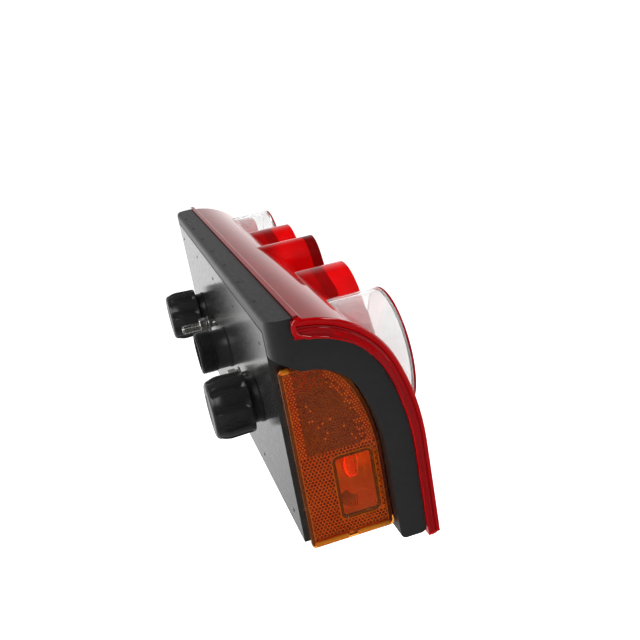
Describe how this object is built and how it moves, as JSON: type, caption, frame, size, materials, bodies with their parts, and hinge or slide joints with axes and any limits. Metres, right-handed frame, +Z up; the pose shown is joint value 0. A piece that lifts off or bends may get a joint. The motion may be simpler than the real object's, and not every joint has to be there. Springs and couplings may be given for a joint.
{
  "type": "trailer tail light",
  "caption": "Left-hand trailer rear lamp cluster: red lens with clear and red drum chambers, central reflex triangle, amber side marker and capped screw connectors.",
  "frame": {"origin": "midway between the two mounting studs, on the back face of the housing", "axes": "+X along the lamp away from the side marker, +Y out of the back face towards the vehicle, +Z up; the lens faces -Y"},
  "size_m": [0.448, 0.1275, 0.1751],
  "materials": {
    "black_gloss_plastic": "smooth moulded, glossy",
    "black_matt_plastic": "fine texture, matt",
    "connector_plastic": "glass-filled, satin",
    "cap_plastic": "satin to gloss",
    "black_rubber": "matt",
    "red_lens_plastic": "polished transparent red",
    "red_reflex_plastic": "prismatic transparent red",
    "clear_lens_plastic": "polished clear",
    "amber_lens_plastic": "prismatic transparent amber",
    "white_plastic": "satin white",
    "reflector_chrome": "vacuum metallised",
    "bulb_glass": "clear glass",
    "amber_bulb_glass": "lacquered amber glass",
    "nickel_contact": "nickel plated",
    "brass": "stamped strip",
    "zinc_steel": "bright zinc plate",
    "stainless_steel": "plain"
  },
  "bodies": {
    "root": {"housing_shell": "black_gloss_plastic", "frame_surround": "black_matt_plastic", "lens_gasket": "black_rubber", "red_lens": "red_lens_plastic", "reflex_triangle": "red_reflex_plastic", "clear_lens_indicator": "clear_lens_plastic", "clear_lens_reversing": "clear_lens_plastic", "reflector_panel": "white_plastic", "contact_rail_ground": "brass", "contact_rail_feed": "brass", "side_marker_lens": "amber_lens_plastic", "side_marker_gasket": "black_rubber", "side_marker_reflector": "reflector_chrome", "side_marker_bulb": "bulb_glass", "side_marker_holder": "black_matt_plastic", "contact_pins": "nickel_contact", "connector_locknuts": "black_matt_plastic", "connector_gaskets": "black_rubber", "mounting_studs": "zinc_steel", "stud_seals": "black_rubber", "lens_screws": "stainless_steel", "breather_plug": "black_rubber", "reflector_bowl_indicator": "reflector_chrome", "bulb_glass_indicator": "amber_bulb_glass", "bulb_base_indicator": "nickel_contact", "bulb_holder_indicator": "black_matt_plastic", "reflector_bowl_stop_near": "reflector_chrome", "bulb_glass_stop_near": "bulb_glass", "bulb_base_stop_near": "nickel_contact", "bulb_holder_stop_near": "black_matt_plastic", "reflector_bowl_stop_far": "reflector_chrome", "bulb_glass_stop_far": "bulb_glass", "bulb_base_stop_far": "nickel_contact", "bulb_holder_stop_far": "black_matt_plastic", "reflector_bowl_reversing": "reflector_chrome", "bulb_glass_reversing": "bulb_glass", "bulb_base_reversing": "nickel_contact", "bulb_holder_reversing": "black_matt_plastic", "connector_body_near": "connector_plastic", "connector_insert_near": "connector_plastic", "connector_body_centre": "connector_plastic", "connector_insert_centre": "connector_plastic", "connector_body_far": "connector_plastic", "connector_insert_far": "connector_plastic"},
    "cap_disc_near": {"cap_seal_near": "black_rubber"},
    "cap_near": {"cap_near": "cap_plastic"},
    "cap_disc_far": {"cap_seal_far": "black_rubber"},
    "cap_far": {"cap_far": "cap_plastic"},
    "washers_near": {"flat_washer_near": "zinc_steel", "spring_washer_near": "zinc_steel"},
    "nut_near": {"stud_nut_near": "zinc_steel"},
    "washers_far": {"flat_washer_far": "zinc_steel", "spring_washer_far": "zinc_steel"},
    "nut_far": {"stud_nut_far": "zinc_steel"}
  },
  "joints": [
    {"name": "cap_near_slide", "type": "slide", "parent": "root", "child": "cap_disc_near", "axis": [0, 1, 0], "range_m": [0, 0.01451]},
    {"name": "cap_near_turn", "type": "hinge", "parent": "cap_disc_near", "child": "cap_near", "pos_m": [-0.126, 0, 0], "axis": [0, 1, 0], "range_deg": [0, 2088]},
    {"name": "cap_far_slide", "type": "slide", "parent": "root", "child": "cap_disc_far", "axis": [0, 1, 0], "range_m": [0, 0.01451]},
    {"name": "cap_far_turn", "type": "hinge", "parent": "cap_disc_far", "child": "cap_far", "pos_m": [0.126, 0, 0], "axis": [0, 1, 0], "range_deg": [0, 2088]},
    {"name": "nut_near_slide", "type": "slide", "parent": "root", "child": "washers_near", "axis": [0, 1, 0], "range_m": [-0.00264, 0.01751]},
    {"name": "nut_near_turn", "type": "hinge", "parent": "washers_near", "child": "nut_near", "pos_m": [-0.076, 0, 0], "axis": [0, 1, 0], "range_deg": [-756, 5040]},
    {"name": "nut_far_slide", "type": "slide", "parent": "root", "child": "washers_far", "axis": [0, 1, 0], "range_m": [-0.00364, 0.01626]},
    {"name": "nut_far_turn", "type": "hinge", "parent": "washers_far", "child": "nut_far", "pos_m": [0.076, 0, 0], "axis": [0, 1, 0], "range_deg": [-1044, 4680]}
  ],
  "couplings": [
    {"joint": "cap_near_slide", "follows": "cap_near_turn", "m_per_rad": 0.00039789},
    {"joint": "cap_far_slide", "follows": "cap_far_turn", "m_per_rad": 0.00039789},
    {"joint": "nut_near_slide", "follows": "nut_near_turn", "m_per_rad": 0.00019894},
    {"joint": "nut_far_slide", "follows": "nut_far_turn", "m_per_rad": 0.00019894}
  ]
}
